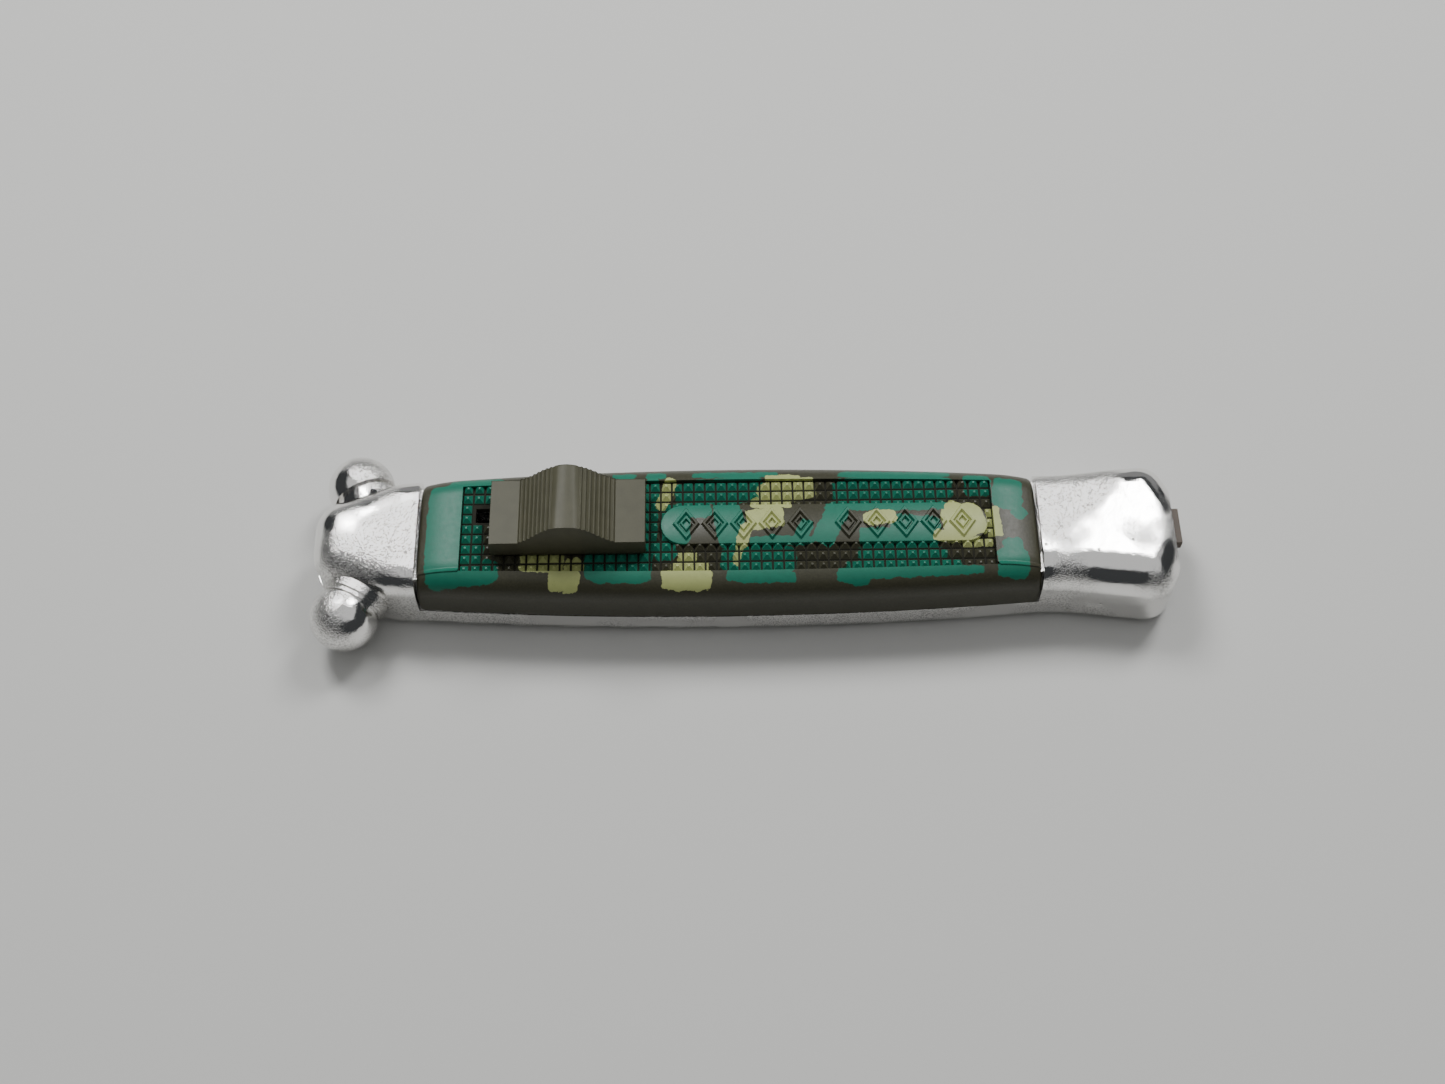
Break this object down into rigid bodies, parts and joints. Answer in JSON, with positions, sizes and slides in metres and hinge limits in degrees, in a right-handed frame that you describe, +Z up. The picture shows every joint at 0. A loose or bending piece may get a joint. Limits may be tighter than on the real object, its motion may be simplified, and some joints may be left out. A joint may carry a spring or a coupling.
{
  "type": "novelty pop-out comb",
  "caption": "Novelty pop-out comb: a stiletto-shaped plastic case with two domed lugs and a thumb slide that releases a sprung comb from the nose.",
  "frame": {"origin": "centre of the bounding box in plan, on the flat back that the case lies on", "axes": "+X from the comb's mouth to the flared pommel, +Y to the side that the slide's slot is nearer, +Z up through the thumb slide"},
  "size_m": [0.1197, 0.0294, 0.0196],
  "materials": {
    "chrome_plating": "vacuum-plated bright as chrome, faintly pebbled",
    "camouflage_print": "satin moulding printed with camouflage patches",
    "slide_plastic": "satin olive-taupe moulding",
    "comb_plastic": "satin black moulding",
    "carriage_plastic": "satin brown moulding",
    "inner_plastic": "natural grey moulding",
    "steel": "bright steel",
    "rubber": "matt black rubber"
  },
  "bodies": {
    "case": {"lower_shell": "chrome_plating", "upper_shell": "chrome_plating", "guard_lug_far": "chrome_plating", "guard_lug_near": "chrome_plating", "grip_scale": "camouflage_print", "case_screws": "steel", "guide_rod": "steel", "rod_clip": "steel", "main_spring": "steel", "spring_seat": "inner_plastic", "mouth_guide": "inner_plastic", "front_bumper": "rubber", "slide_return_spring": "steel", "catch_leaf": "steel", "catch_screw": "steel"},
    "thumb_slide_body": {"thumb_slide": "slide_plastic", "slide_retainer": "inner_plastic", "slide_screw": "steel"},
    "comb_body": {"comb": "comb_plastic", "comb_carriage": "carriage_plastic", "comb_rivets": "steel"}
  },
  "joints": [
    {"name": "thumb_release", "type": "slide", "parent": "case", "child": "thumb_slide_body", "axis": [-1, 0, 0], "range_m": [0, 0.005], "stiffness_N_per_m": 80, "springref_m": -0.004, "deforming": ["slide_return_spring", "catch_leaf"]},
    {"name": "comb_out", "type": "slide", "parent": "case", "child": "comb_body", "axis": [-1, 0, 0], "range_m": [0, 0.06], "deforming": ["main_spring", "catch_leaf"]}
  ]
}
